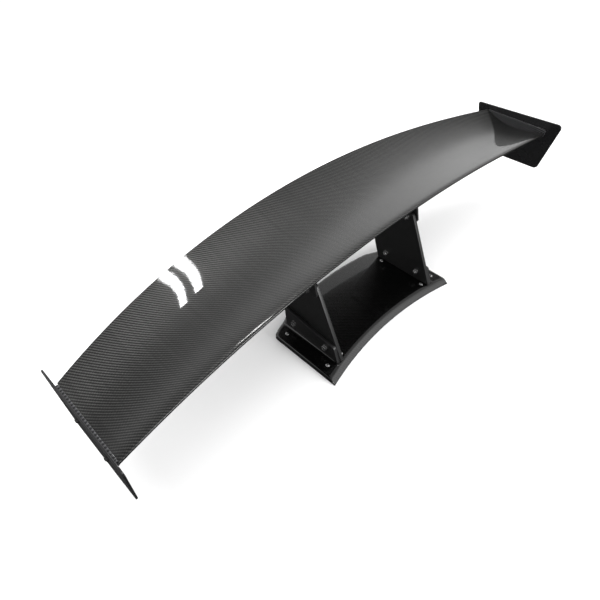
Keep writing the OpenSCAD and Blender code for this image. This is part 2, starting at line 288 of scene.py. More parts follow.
def along_x(x, yz, side=1):
    """Places local Z along +X (or -X on the right) with its origin at x."""
    turn = Matrix(((0, 0, side), (1, 0, 0), (0, side, 0))).to_4x4()
    return Matrix.Translation((side * x, yz[0], yz[1])) @ turn


def upright_at(x, y, z, flip=False):
    """Places local Z along +Z, or -Z when flipped."""
    turn = Matrix.Rotation(math.pi, 4, "X") if flip else Matrix.Identity(4)
    return Matrix.Translation((x, y, z)) @ turn


# ---------------------------------------------------------------- materials

class Shader:
    """A material, or the world, with short ways to add its nodes."""

    def __init__(self, name, world=False):
        self.owner = (bpy.data.worlds if world else bpy.data.materials).new(name)
        self.owner.use_nodes = True
        self.tree = self.owner.node_tree
        self.main = self.tree.nodes["Background" if world else "Principled BSDF"]

    def node(self, kind, inputs=None, **settings):
        made = self.tree.nodes.new(kind)
        for key, value in settings.items():
            setattr(made, key, value)
        for key, value in (inputs or {}).items():
            self.put(made.inputs[key], value)
        return made

    def put(self, socket, value):
        if isinstance(value, bpy.types.NodeSocket):
            self.tree.links.new(value, socket)
        else:
            socket.default_value = value

    def math(self, operation, *values):
        made = self.tree.nodes.new("ShaderNodeMath")
        made.operation = operation
        for socket, value in zip(made.inputs, values):
            self.put(socket, value)
        return made.outputs[0]

    def blend(self, factor, a, b):
        made = self.node("ShaderNodeMix", data_type="RGBA")
        self.put(made.inputs[0], factor)
        self.put(made.inputs[6], a)
        self.put(made.inputs[7], b)
        return made.outputs[2]

    def ramp(self, factor, stops):
        made = self.node("ShaderNodeValToRGB", {"Fac": factor})
        ramp = made.color_ramp
        while len(ramp.elements) < len(stops):
            ramp.elements.new(0.5)
        for element, (where, colour) in zip(ramp.elements, stops):
            element.position = where
            element.color = colour if len(colour) == 4 else (*colour, 1)
        return made.outputs[0]

    def spread(self, value, low, high):
        """Maps 0..1 to low..high."""
        return self.math("MULTIPLY_ADD", value, high - low, low)

    def noise(self, scale, detail=2.0, vector=None, rough=0.5):
        place = vector or self.node("ShaderNodeTexCoord").outputs["Object"]
        made = self.node("ShaderNodeTexNoise", {"Scale": scale, "Detail": detail, "Roughness": rough})
        self.put(made.inputs["Vector"], place)
        return made.outputs["Fac"]

    def bump(self, height, distance, strength, under=None):
        made = self.node("ShaderNodeBump", {"Strength": strength, "Distance": distance})
        self.put(made.inputs["Height"], height)
        if under:
            self.put(made.inputs["Normal"], under)
        return made.outputs["Normal"]

    def set(self, **values):
        """Fills inputs of the main shader, with _ for the spaces in their names."""
        for key, value in values.items():
            self.put(self.main.inputs[key.replace("_", " ")], value)


def twill(name, dark, light, coat, coat_rough, fibre_rough=0.34, depth=0.00022, metal=0.8):
    """2x2 twill carbon under lacquer. dark and light are painted sheen: the same black fibre in a dim and
    a lit tone, one for each tow direction, standing in for the fibres' directional sheen.
    """
    s = Shader(name)
    uv = s.node("ShaderNodeSeparateXYZ", {0: s.node("ShaderNodeUVMap", uv_map="weave").outputs[0]})
    shift = 4000.0  # keeps the cell numbers positive
    u = s.math("MULTIPLY_ADD", uv.outputs[0], 1 / (TOW * MM), shift)
    v = s.math("MULTIPLY_ADD", uv.outputs[1], 1 / (TOW * MM), shift)
    fu, fv = s.math("FRACT", u), s.math("FRACT", v)
    iu, iv = s.math("FLOOR", u), s.math("FLOOR", v)
    step = s.math("MODULO", s.math("ADD", iu, iv), 4.0)
    warp = s.math("LESS_THAN", step, 1.5)

    def crown(across, along):
        """Height of a tow that is on top: round across, dipping at both ends of its float."""
        side = s.math("POWER", s.math("SINE", s.math("MULTIPLY", across, math.pi)), 0.45)
        run = s.math("SINE", s.math("MULTIPLY", along, math.pi))
        return s.math("MULTIPLY", side, s.math("POWER", run, 0.35))

    warp_run = s.math("MULTIPLY", s.math("ADD", step, fv), 0.5)
    weft_run = s.math("MULTIPLY", s.math("ADD", s.math("SUBTRACT", step, 2.0), fu), 0.5)
    high_warp, high_weft = crown(fu, warp_run), crown(fv, weft_run)
    height = s.math("ADD", s.math("MULTIPLY", warp, high_warp),
                    s.math("MULTIPLY", s.math("SUBTRACT", 1.0, warp), high_weft))

    def tow_tone(index, seed):
        """Each tow is a little lighter or darker along its whole length."""
        place = s.node("ShaderNodeCombineXYZ", {0: index, 1: seed}).outputs[0]
        return s.node("ShaderNodeTexWhiteNoise", {"Vector": place}, noise_dimensions="2D").outputs[0]

    def streaks(across, along):
        """Fine filaments along a tow."""
        place = s.node("ShaderNodeCombineXYZ", {0: s.math("MULTIPLY", across, 9.0),
                                                1: s.math("MULTIPLY", along, 0.5)}).outputs[0]
        return s.noise(1.0, 2.0, place)

    tone = s.node("ShaderNodeMix", data_type="FLOAT")
    s.put(tone.inputs[0], warp)
    s.put(tone.inputs[2], s.math("ADD", tow_tone(iv, 7.0), streaks(v, u)))
    s.put(tone.inputs[3], s.math("ADD", tow_tone(iu, 3.0), streaks(u, v)))
    vary = s.spread(s.math("MULTIPLY", tone.outputs[0], 0.5), 0.72, 1.28)
    # painted shade: each tow is darkened towards its dipping edges and ends, on top of its own random tone
    gap_shade_and_tow_tone = s.math("MULTIPLY", s.spread(height, 0.35, 1.0), vary)
    # painted sheen: tows running one way take the lit tone and those running across take the dim tone
    tow_sheen_colour = s.blend(warp, (*dark, 1), (*light, 1))
    colour = s.node("ShaderNodeVectorMath", operation="SCALE")
    s.put(colour.inputs[0], tow_sheen_colour)
    s.put(colour.inputs["Scale"], gap_shade_and_tow_tone)
    peel = s.noise(160.0, 1.0)
    s.set(Base_Color=colour.outputs[0], Metallic=metal, Roughness=fibre_rough,
          Normal=s.bump(height, depth, 0.6), Coat_Weight=coat, Coat_Roughness=coat_rough,
          Coat_IOR=1.5, Coat_Normal=s.bump(peel, 0.0004, 0.03))
    return s.owner


def gloss_black():
    """Black gel coat on the end plates, faintly uneven, with a worn edge."""
    s = Shader("gloss_black")
    edge = s.ramp(s.node("ShaderNodeNewGeometry").outputs["Pointiness"],
                  [(0.52, (0, 0, 0)), (0.60, (1, 1, 1))])
    scuff = s.ramp(s.noise(900.0, 3.0), [(0.45, (0, 0, 0)), (0.62, (1, 1, 1))])
    worn = s.math("MULTIPLY", s.math("MULTIPLY", edge, scuff), 0.6)
    dust = s.noise(35.0, 4.0)
    colour = s.blend(worn, (0.0055, 0.0055, 0.006, 1), (0.05, 0.05, 0.05, 1))
    s.set(Base_Color=colour, Roughness=s.spread(dust, 0.20, 0.34), Coat_Weight=0.35,
          Coat_Roughness=0.08, Normal=s.bump(s.noise(220.0, 1.0), 0.0004, 0.06),
          Specular_IOR_Level=0.35)
    return s.owner


def satin_black():
    """Black coating on machined alloy, with bare metal showing at worn edges."""
    s = Shader("satin_black")
    tone = 0.007
    edge = s.ramp(s.node("ShaderNodeNewGeometry").outputs["Pointiness"],
                  [(0.53, (0, 0, 0)), (0.62, (1, 1, 1))])
    scuff = s.ramp(s.noise(700.0, 3.0), [(0.42, (0, 0, 0)), (0.66, (1, 1, 1))])
    worn = s.math("MULTIPLY", s.math("MULTIPLY", edge, scuff), 0.75)
    grain = s.noise(2600.0, 1.0)
    patch = s.noise(18.0, 3.0)
    coat = s.blend(patch, (0.8 * tone, 0.8 * tone, 0.82 * tone, 1),
                   (1.2 * tone, 1.2 * tone, 1.22 * tone, 1))
    colour = s.blend(worn, coat, (0.28, 0.28, 0.29, 1))
    s.set(Base_Color=colour, Metallic=s.math("MULTIPLY", worn, 0.8),
          Roughness=s.spread(patch, 0.28, 0.42), Normal=s.bump(grain, 0.0002, 0.12),
          Specular_IOR_Level=0.4)
    return s.owner


def steel(name, tone, rough, blemish):
    """Plated or blackened steel with turning marks and small dull patches."""
    s = Shader(name)
    patch = s.ramp(s.noise(420.0, 4.0), [(0.35, (0, 0, 0)), (0.75, (1, 1, 1))])
    fine = s.noise(3800.0, 2.0)
    colour = s.blend(patch, (tone, tone, tone * 1.01, 1), (blemish, blemish, blemish * 0.98, 1))
    s.set(Base_Color=colour, Metallic=0.95, Roughness=s.spread(patch, rough, rough + 0.16),
          Normal=s.bump(fine, 0.00012, 0.2))
    return s.owner


def bronze():
    s = Shader("bearing_bronze")
    patch = s.noise(500.0, 3.0)
    colour = s.blend(patch, (0.50, 0.31, 0.13, 1), (0.36, 0.22, 0.10, 1))
    s.set(Base_Color=colour, Metallic=1.0, Roughness=s.spread(patch, 0.25, 0.45),
          Normal=s.bump(s.noise(3000.0, 1.0), 0.0001, 0.2))
    return s.owner


def raw_alloy():
    """Milled alloy with fine parallel tool marks."""
    s = Shader("raw_alloy")
    place = s.node("ShaderNodeTexCoord").outputs["Object"]
    marks = s.node("ShaderNodeTexWave", {"Scale": 260.0, "Distortion": 1.2, "Detail": 2.0,
                                         "Vector": place}, bands_direction="Y").outputs["Fac"]
    patch = s.noise(60.0, 3.0)
    colour = s.blend(patch, (0.60, 0.60, 0.61, 1), (0.48, 0.48, 0.49, 1))
    s.set(Base_Color=colour, Metallic=1.0, Roughness=s.spread(marks, 0.28, 0.44),
          Normal=s.bump(marks, 0.0001, 0.25))
    return s.owner


def bare_laminate():
    """Unpolished carbon laminate of the spars inside the wing."""
    s = Shader("bare_laminate")
    cloth = s.node("ShaderNodeTexChecker", {"Scale": 1 / (TOW * MM)})
    s.put(cloth.inputs["Vector"], s.node("ShaderNodeTexCoord").outputs["Object"])
    cloth.inputs["Color1"].default_value = (0.030, 0.030, 0.032, 1)
    cloth.inputs["Color2"].default_value = (0.055, 0.055, 0.058, 1)
    s.set(Base_Color=cloth.outputs["Color"], Roughness=s.spread(s.noise(90.0, 3.0), 0.45, 0.65),
          Normal=s.bump(cloth.outputs["Fac"], 0.0002, 0.4))
    return s.owner


CARBON = twill("carbon_gloss", (0.012, 0.012, 0.012), (0.058, 0.058, 0.056), 0.5, 0.03, 0.38, metal=0.9)
# painted shade: the base panel's carbon is the wing's weave made about ten times darker, standing in for
# the shadow under the wing
CARBON_SHADED_BASE = twill("carbon_base", (0.0012, 0.0012, 0.0012), (0.005, 0.005, 0.005), 1.0, 0.05)
CARBON_SATIN = twill("carbon_satin", (0.020, 0.020, 0.022), (0.13, 0.13, 0.135), 0.6, 0.12, 0.40)
GLOSS = gloss_black()
SATIN = satin_black()
BRIGHT = steel("steel_bright", 0.34, 0.20, 0.22)
BLACKENED = steel("steel_black", 0.055, 0.34, 0.09)


# ---------------------------------------------------------------- the wing's section

NOSE_Y, NOSE_Z, CHORD = -22.0, 282.5, 293.0
NOSE_SWEEP, TAIL_SWEEP, TAIL_RISE = 55.5, 153.0, 8.8
CAMBER, HALF_THICK, SKIN, TAIL_THICK = 34.0, 14.0, 2.0, 3.0
CAMBER_LOSS, THICK_LOSS = 6, 2    # how much less of each is left at the tips
RIB_TOP = RIB_HIGH.z


def bow(t, square, fourth):
    """A drop that grows from the middle of the span, t = 0, to a tip, t = 1."""
    return square * t * t + fourth * t ** 4


def nose_at(t):
    return Vector((NOSE_Y - NOSE_SWEEP * bow(t, 0.8, 0.2), NOSE_Z - bow(t, 17, -5)))


def tail_at(t):
    return Vector((NOSE_Y + CHORD - TAIL_SWEEP * bow(t, 0.75, 0.25),
                   NOSE_Z + TAIL_RISE - bow(t, 24, -20)))


def mean_line(t, s):
    """Middle of the section at s of the chord, t of the way to a tip, as (y, z)."""
    low = nose_at(t)
    return low + s * (tail_at(t) - low) - Vector((0, 4 * s * (1 - s) * (CAMBER - CAMBER_LOSS * t * t)))


def half_thick(t):
    return HALF_THICK - THICK_LOSS * t * t


def thickness(s, half):
    """Half thickness of the section at s of the chord, where half is the largest."""
    return 4 * half * (math.sqrt(s) - s)


def outer_face(t, s, side):
    return mean_line(t, s) + Vector((0, side * (thickness(s, half_thick(t)) + s * TAIL_THICK / 2)))


def inner_face(t, s, side):
    chord = tail_at(t)[0] - nose_at(t)[0]
    w = SKIN / chord + s * (1 - 6 * SKIN / chord)
    return mean_line(t, w) + Vector((0, side * thickness(s, half_thick(t) - SKIN)))


def make_skin(name, side, node):
    """One half of the wing's shell, with the weave laid from the trailing edge forwards."""
    spans, chords, inside, glue = 150, 52, 14, 0.05
    rings, weave = [], []
    for i in range(spans + 1):
        x = SKIN_END * (2 * i / spans - 1)
        t = abs(x) / HALF_SPAN
        outer = [outer_face(t, (j / chords) ** 2, side) for j in range(chords + 1)]
        inner = [inner_face(t, (j / inside) ** 2, side) for j in range(inside, -1, -1)]
        length, run = 0.0, [0.0]
        for a, b in zip(outer, outer[1:]):
            length += (b - a).length
            run.append(length)
        start = tail_at(t)[0] - length
        marks = [start + r for r in run]
        marks += [start + length * (j / inside) ** 2 for j in range(inside, -1, -1)]
        rings.append([(x, p[0], p[1] + side * glue) for p in outer + inner])
        weave.append([(x, m) for m in marks])
    build = Build()
    build.loft(rings, weave=weave)
    data = build.mesh(name)
    tidy(data, 40)
    add_piece(name, data, "wing", CARBON, node)


make_skin("top_skin", 1, "upper_skin")
make_skin("bottom_skin", -1, "lower_skin")


def rib_outline(n=40):
    """The tip rib: the wing's underside below, and a straight edge above the top skin."""
    low = [tuple(outer_face(1, (i / n) ** 2, -1)) for i in range(n + 1)]
    nose, tail = low[0], low[-1]
    shoulder = rounded([(nose[0], nose[1] + 1), (nose[0] + 0.5, RIB_TOP - 1), (tail[0] - 1, RIB_TOP)],
                       [0.2, 7, 0.5])
    each = len(shoulder) // 3
    front_top = shoulder[each:2 * each]
    return low + [(tail[0], RIB_TOP - 0.2)] + front_top[::-1]


for mirror, end in BOTH_ENDS:
    rib = plate(rib_outline(), [], RIB_LOW.x, RIB_HIGH.x, 0.8, mirror=mirror)
    tidy(rib, 40, flat="X")
    add_piece(f"tip_rib_{end}_moulding", rib, "wing", CARBON_SATIN, f"tip_rib_{end}")


# ---------------------------------------------------------------- end plates

PLATE_CORNERS = [(-118.5, 312.8), (161.5, 300.5), (116, 154.5), (-92, 158.5)]
PLATE_RADII = [12, 7, 14, 14]
for mirror, end in BOTH_ENDS:
    holes = [circle(p, M6_HOLE) for p in RIB_SCREWS]
    data = plate(rounded(PLATE_CORNERS, PLATE_RADII), holes, PLATE_LOW.x, PLATE_HIGH.x, 1.1, mirror=mirror)
    tidy(data, 40, flat="X")
    add_piece(f"endplate_{end}_panel", data, "wing", GLOSS, f"endplate_{end}")


# ---------------------------------------------------------------- fasteners

def hexagon(across_flats):
    """Trims a radius to a hexagon."""
    def trim(radius, angle):
        bend = (angle % (math.pi / 3)) - math.pi / 6
        return min(radius, across_flats / 2 / math.cos(bend))
    return trim


def thread(radius, low, high, pitch):
    """Profile of a threaded stretch from low up to high."""
    out = []
    turns = int((high - low) / pitch)
    for i in range(turns):
        z = low + i * pitch
        out += [(radius, z), (radius, z + 0.3 * pitch), (radius - 0.32 * pitch, z + 0.55 * pitch)]
    return out + [(radius, low + turns * pitch), (radius, high)]


def hex_bolt(build, place, length, flats=13.0, head=5.3, radius=4.0, threaded=14.0):
    """Head above local zero, shank below it, threaded at its end."""
    crown = flats / math.sqrt(3)
    build.lathe([(flats * 0.46, 0.0), (crown, 0.25), (crown, head - 1.3), (crown * 0.955, head - 0.7),
                 (flats * 0.485, head - 0.15), (flats * 0.45, head), (flats * 0.36, head),
                 (flats * 0.345, head - 0.35), (0.6, head - 0.35)],
                place, 48, shape=hexagon(flats))
    build.lathe([(radius - 0.9, -length), (radius - 0.1, -length + 0.9)]
                + thread(radius - 0.02, -length + 1.0, -length + threaded, 1.25)
                + [(radius, 0.1)], place, 32)


def hex_nut(build, place, height=6.4, flats=13.0, bore=4.05):
    crown = flats / math.sqrt(3)
    outer = [(flats * 0.47, 0), (crown * 0.965, 0.7), (crown, 1.2), (crown, height - 1.2),
             (crown * 0.965, height - 0.7), (flats * 0.47, height)]
    inner = [(bore + 0.7, height), (bore, height - 0.7), (bore, 0.7), (bore + 0.7, 0)]
    build.lathe(outer + inner, place, 48, closed=True,
                shape=lambda r, a: hexagon(flats)(r, a) if r > bore + 1 else r)


def washer(build, place, radius=8.0, bore=M8_HOLE, height=1.5):
    ease = 0.25
    build.lathe([(bore, ease), (bore + ease, 0), (radius - ease, 0), (radius, ease),
                 (radius, height - ease), (radius - ease, height), (bore + ease, height),
                 (bore, height - ease)], place, 44, closed=True)


def button_screw(build, place, length, radius=5.25, head=3.3, shank=2.58, key=4.0):
    """Domed socket head above local zero, threaded shank below it."""
    n, socket_depth = 36, 1.9
    dome = [(radius * math.cos(a), 0.5 + (head - 0.5) * math.sin(a))
            for a in [math.radians(10 * i) for i in range(6)]]
    rim = key / math.sqrt(3) + 0.25
    build.lathe([(radius - 0.2, 0.0), (radius, 0.25)] + dome + [(rim + 0.1, head)], place, n)
    # socket: the head's flat top gives way to a hexagonal well
    build.faces.pop()
    first = len(build.verts) - n
    trim = hexagon(key)
    for sunk in (0.0, socket_depth):
        for i in range(n):
            a = 2 * math.pi * i / n
            r = trim(radius, a)
            build.verts.append(place @ Vector((r * math.cos(a), r * math.sin(a), head - sunk)))
            build.weave.append(None)
    build.ring_faces(first, 3, n)
    build.faces.append(tuple(range(first + 2 * n, first + 3 * n)))
    build.lathe([(shank - 0.5, -length), (shank - 0.02, -length + 0.5)]
                + thread(shank - 0.02, -length + 0.6, -0.6, 1.0) + [(shank, -0.05)], place, 28)


def fastener_set(name, node, body, material, make):
    """One piece holding every copy of a fastener. make is called for each side."""
    build = Build()
    for side in (1, -1):
        make(build, side)
    data = build.mesh(name)
    tidy(data, 32)
    add_piece(name, data, body, material, node)


NUT_T, THREAD_SHOWN = 6.5, 2.5
NUT_FACE = UPRIGHT_LOW.x - WASHER_T        # face the nuts bear on
FLANGE_HEAD = FLANGE_X[1] + WASHER_T       # face the flange bolt heads bear on
EAR_HEAD = EAR_X[1] + SIDE_GAP + WASHER_T  # face the adjuster bolt heads bear on
BOLT_END = NUT_FACE - NUT_T - THREAD_SHOWN  # where every through bolt ends
FRICTION_R, FRICTION_T, SEAT = 10, 1.44, 0.03    # friction washer, and its gap to the upright
PLATE_WASHER_T = 1.2
SHORT_OF_RIB = 1.5    # from the rib's inner face back to where the end plate screws stop


def turned(side, yz):
    """Leaves each bolt head at its own angle."""
    return Matrix.Rotation(math.radians(17 * side + yz[0] * 7.3), 4, "Z")


def through_bolts(places, face):
    def make(build, side):
        for yz in places:
            hex_bolt(build, along_x(face, yz, side) @ turned(side, yz), face - BOLT_END)
    return make


def nuts(places):
    def make(build, side):
        for yz in places:
            hex_nut(build, along_x(NUT_FACE - NUT_T, yz, side) @ turned(-side, yz))
    return make


def adjuster_washers(yz):
    """Under the nut, under the head, and a friction washer between the upright and the ear."""
    def make(build, side):
        washer(build, along_x(NUT_FACE, yz, side))
        washer(build, along_x(EAR_X[1] + SIDE_GAP, yz, side))
        washer(build, along_x(UPRIGHT_HIGH.x + SEAT, yz, side), radius=FRICTION_R, height=FRICTION_T)
    return make


def flange_washers(build, side):
    for yz in FLANGE_BOLTS:
        washer(build, along_x(NUT_FACE, yz, side))
        washer(build, along_x(FLANGE_X[1], yz, side))


def endplate_washers(build, side):
    for yz in RIB_SCREWS:
        washer(build, along_x(PLATE_HIGH.x, yz, side), radius=6.2, bore=M6_HOLE, height=1.15)


def endplate_screws(build, side):
    for yz in RIB_SCREWS:
        head_x = PLATE_HIGH.x + PLATE_WASHER_T
        place = along_x(head_x, yz, side) @ turned(side, yz)
        button_screw(build, place, head_x - RIB_LOW.x - SHORT_OF_RIB)


for use, places, face, washers in (("flange", FLANGE_BOLTS, FLANGE_HEAD, flange_washers),
                                   ("pivot", [PIVOT], EAR_HEAD, adjuster_washers(PIVOT)),
                                   ("clamp", [CLAMP], EAR_HEAD, adjuster_washers(CLAMP))):
    for kind, make in (("bolt", through_bolts(places, face)), ("nut", nuts(places)), ("washer", washers)):
        fastener_set(f"{use}_{kind}_set", f"{use}_{kind}s", "root", BRIGHT, make)
fastener_set("endplate_washer_set", "endplate_washers", "wing", BLACKENED,
             endplate_washers)
fastener_set("endplate_screw_set", "endplate_screws", "wing", BLACKENED,
             endplate_screws)


# ---------------------------------------------------------------- uprights and brackets

FRONT_LEAN, REAR_LEAN = 0.4925, 0.4


def upright_outline():
    low, top = UPRIGHT_LOW.z, UPRIGHT_HIGH.z
    corners = [(-100.5 + FRONT_LEAN * low, low), (85.8 + REAR_LEAN * low, low),
               (85.8 + REAR_LEAN * (top - 4), top - 4), (-100.5 + FRONT_LEAN * top, top)]
    return rounded(corners, [3, 3, 14, 10])


def make_upright(end, mirror):
    holes = [circle(p, M8_HOLE) for p in (*FLANGE_BOLTS, PIVOT, CLAMP)]
    data = plate(upright_outline(), holes, UPRIGHT_LOW.x, UPRIGHT_HIGH.x, 0.9, mirror=mirror)
    tidy(data, 40, flat="X")
    add_piece(f"upright_{end}_plate", data, "root", SATIN, f"upright_{end}")


def make_base_bracket(end, mirror):
    """The flange that rises through the panel, and the plate that lies under it."""
    flange = plate(rounded([(-88.8, 13), (93.7, 13), (104, 84), (-69, 63)], [1, 1, 5, 10]),
                   [circle(p, M8_HOLE) for p in FLANGE_BOLTS], *FLANGE_X, 0.9, mirror=mirror)
    low, high = FOOT_LOW, FOOT_HIGH
    corners = [(low.x, -82), (high.x, -82), (high.x, 84), (low.x, 84)]
    holes = [circle(p, M6_TAPPED, 28) for p in BASE_SCREWS]
    holes += [circle(p, FIXING_HOLE, 32) for p in FIXING_HOLES]
    foot = plate(rounded(corners, [3] * 4), holes, low.z, 13.8, 0.6, axis="Z", mirror=mirror)
    data = joined([flange, foot])
    weave_from_place(data, "X")
    tidy(data, 40, flat="XZ")
    add_piece(f"base_bracket_{end}_body", data, "root", SATIN, f"base_bracket_{end}")


def underside_z(x, y):
    """Height of the wing's underside, found by halving the interval of the chord."""
    t, low, high = abs(x) / HALF_SPAN, 0.0, 1.0
    for _ in range(20):
        middle = (low + high) / 2
        if mean_line(t, middle)[0] < y:
            low = middle
        else:
            high = middle
    return outer_face(t, low, -1)[1]


def slot_outline(half=4.4, low=-13, high=4, n=10):
    """The arc slot about the pivot, as the hole in the ear."""
    def cap(angle, way):
        a = math.radians(angle)
        spot = (PIVOT[0] + SLOT_R * math.cos(a), PIVOT[1] + SLOT_R * math.sin(a))
        return arc(spot, half, angle, angle + way * 180, n)
    far, near = arc(PIVOT, SLOT_R + half, low, high, n), arc(PIVOT, SLOT_R - half, high, low, n)
    return far + cap(high, 1)[1:-1] + near + cap(low, -1)[::-1][1:-1]


def make_wing_bracket(end, mirror):
    """A saddle shaped to the wing's underside, with the slotted ear outside the upright."""
    side = -1 if mirror else 1
    low, high, base_z = 4.0, 164.0, 232.0
    pocket_r, pocket_depth = 5.65, 3.5    # for the saddle screw heads
    steps = 24
    ys = [low + (high - low) * i / steps for i in range(steps + 1)]
    xs = (SADDLE_LOW.x, SADDLE_HIGH.x)
    top = [(y, min(underside_z(xs[0], y), underside_z(xs[1], y)) - 0.4) for y in ys]
    saddle = plate([(high - 6, base_z), (low + 6, base_z)] + top, [], xs[0], xs[1], 0.7, mirror=mirror)
    pockets = []
    for x, y in SADDLE_SCREWS:
        pockets.append(peg(upright_at(side * x, y, base_z), pocket_r, -3, pocket_depth))
        pockets.append(peg(upright_at(side * x, y, base_z), M6_HOLE, 3, 40))
    saddle = cut(saddle, pockets)
    ear_line = rounded([(-6, 192), (146, 166), (high - 4, base_z + 3), (low + 2, base_z + 3)],
                       [9, 12, 2, 2])
    bush_r = 6
    ear = plate(ear_line, [circle(PIVOT, bush_r), slot_outline()], *EAR_X, 0.7, mirror=mirror)
    data = joined([saddle, ear])
    weave_from_place(data, "X")
    tidy(data, 40, flat="XZ")
    add_piece(f"wing_bracket_{end}_body", data, "wing", SATIN, f"wing_bracket_{end}")


for mirror, end in BOTH_ENDS:
    make_upright(end, mirror)
    make_base_bracket(end, mirror)
    make_wing_bracket(end, mirror)


SADDLE_BEARING = 235.4    # the face the screw heads bear on, at the top of their pockets


def saddle_screws(build, side):
    for x, y in SADDLE_SCREWS:
        place = upright_at(side * x, y, SADDLE_BEARING, flip=True) @ turned(side, (y, 0))
        button_screw(build, place, 23)


fastener_set("saddle_screw_set", "bracket_screws", "wing", BRIGHT, saddle_screws)


# ---------------------------------------------------------------- base panel

BASE_TOP, LIP, WALL = BASE_HIGH.z, 14.0, 4.0
FRONT_EDGE, FRONT_BOW = -87.0, 32.0
REAR_EDGE, REAR_BOW = BASE_HIGH.y, 38.0
HALF_W = BASE_HIGH.x
FRONT_R = (HALF_W ** 2 + FRONT_BOW ** 2) / (2 * FRONT_BOW)
REAR_R = (250.0 ** 2 + REAR_BOW ** 2) / (2 * REAR_BOW)
CORNER_R = 14.0
EDGE_R = 5.0
PANEL_WELD = 2e-6


def smooth(value, low, high):
    w = min(max((value - low) / (high - low), 0.0), 1.0)
    return w * w * (3 - 2 * w)


def front_y(x):
    return FRONT_EDGE - FRONT_R + math.sqrt(FRONT_R ** 2 - x * x)


def rear_arc(x):
    """Rear edge, which steps forward outside the uprights."""
    return REAR_EDGE - REAR_R + math.sqrt(REAR_R ** 2 - x * x) - 10 * smooth(abs(x), 160, 212)


CORNER_X = HALF_W - CORNER_R
CORNER_Y = rear_arc(CORNER_X + CORNER_R * 0.5) - CORNER_R * 0.98


def rear_y(x):
    if abs(x) <= CORNER_X:
        return rear_arc(x)
    reach = min(abs(x) - CORNER_X, CORNER_R)
    return min(rear_arc(x), CORNER_Y + math.sqrt(CORNER_R ** 2 - reach ** 2))


def roll(d, radius):
    """How far a rounded edge has dropped at a distance d in from it."""
    return 0.0 if d >= radius else radius - math.sqrt(max(radius ** 2 - (radius - d) ** 2, 0.0))


def panel_top(x, y):
    """Height of the panel's outside: flat, with a front slope, rounded edges and a cuff."""
    ax = abs(x)
    in_front = y - front_y(x)
    if ax > CORNER_X and y > CORNER_Y:
        in_side = in_rear = CORNER_R - math.hypot(ax - CORNER_X, y - CORNER_Y)
    else:
        in_side, in_rear = HALF_W - ax, rear_y(x) - y
    v = LIP - in_front
    slope = 0.5 * (v + math.sqrt(v * v + 9.0)) - 0.15
    drop = max(roll(in_side, EDGE_R), roll(in_rear, EDGE_R * 1.4))
    drop = math.hypot(slope if slope > 0.3 else 0.0, drop)
    outward = 2.0 * smooth(ax, 208, 252)
    cuff_r = 3.0 + 5.0 * smooth(y, -90, 100)
    near = ax - FLANGE_X[1] - 0.35
    cuff = 0.0
    if 0 <= near < cuff_r:
        cuff = roll(near, cuff_r) * smooth(y, -96, -80) * (1 - smooth(y, 94, 104))
    return max(BASE_TOP - 0.2 - drop - outward + cuff, 2.6)


EDGE_STEPS = [0, 0.25, 0.7, 1.3, 2.1, 3.1, 4.3, 5.6, 7.5]
FRONT_STEPS = [0, 1.5, 3.5, 6, 8.5, 11, 12.5, 13.5, 14.5, 15.5, 17, 19, 22]


def panel_columns():
    """X places of the grid, closer at the sides and beside each flange."""
    right = [HALF_W - d for d in EDGE_STEPS]
    right += [HALF_W - d for d in (10, 12, 14, 17, 20, 24, 28, 32)]
    beside = FLANGE_X[1] + 0.35
    right += [beside + d for d in (9, 7.5, 6.2, 5, 4, 3, 2.2, 1.4, 0.8, 0.3, 0.0, -0.04)]
    right += [beside - 6 - 10 * i for i in range(20)]
    right = sorted(set(round(x, 3) for x in right if x > 0))
    return [-x for x in right[::-1]] + [0.0] + right


def panel_rows(x):
    low, high = front_y(x), rear_y(x)
    start, stop = low + FRONT_STEPS[-1], high - EDGE_STEPS[-1]
    between = 40
    rows = [low + d for d in FRONT_STEPS]
    rows += [start + (stop - start) * i / between for i in range(1, between)]
    return rows + [high - d for d in EDGE_STEPS[::-1]]


def panel_grids():
    """The outside and the inside of the panel, each as columns of points."""
    columns = panel_columns()
    shrink = (HALF_W - WALL - 0.5) / HALF_W
    outside = [[(x, y, panel_top(x, y)) for y in panel_rows(x)] for x in columns]
    inside = []
    for x in columns:
        xi = x * shrink
        low, high = front_y(xi) + LIP + 2.5, rear_y(x) - WALL - 1.0
        rows = panel_rows(x)
        span = rows[-1] - rows[0]
        inside.append([(xi, low + (y - rows[0]) / span * (high - low), BASE_TOP - WALL) for y in rows])
    return outside, inside


def rim_of(grid):
    """The points round the edge of a grid."""
    loop = [column[0] for column in grid] + grid[-1][1:]
    return loop + [column[-1] for column in grid[-2::-1]] + grid[0][-2:0:-1]


def panel_shell():
    """A moulded shell: the outside, a rim down to the car, and the inside."""
    build = Build()
    grids = panel_grids()
    for grid in grids:
        first = len(build.verts)
        for column in grid:
            build.verts += column
            build.weave += [(p[0], p[1]) for p in column]
        build.ring_faces(first, len(grid), len(grid[0]), closed_ring=False)
    outer, inner = [rim_of(grid) for grid in grids]
    foot = [(p[0], p[1], 0.5) for p in outer]
    toe = [(p[0] * 0.9985, p[1] + 0.5 * (1 if p[1] < 0 else -1), 0.0) for p in outer]
    heel = [(p[0], p[1], 0.0) for p in inner]
    build.loft([outer, foot, toe, heel, inner], caps=(False, False))
    data = build.mesh("base_panel_moulding")
    tidy(data, 30, PANEL_WELD)
    return data


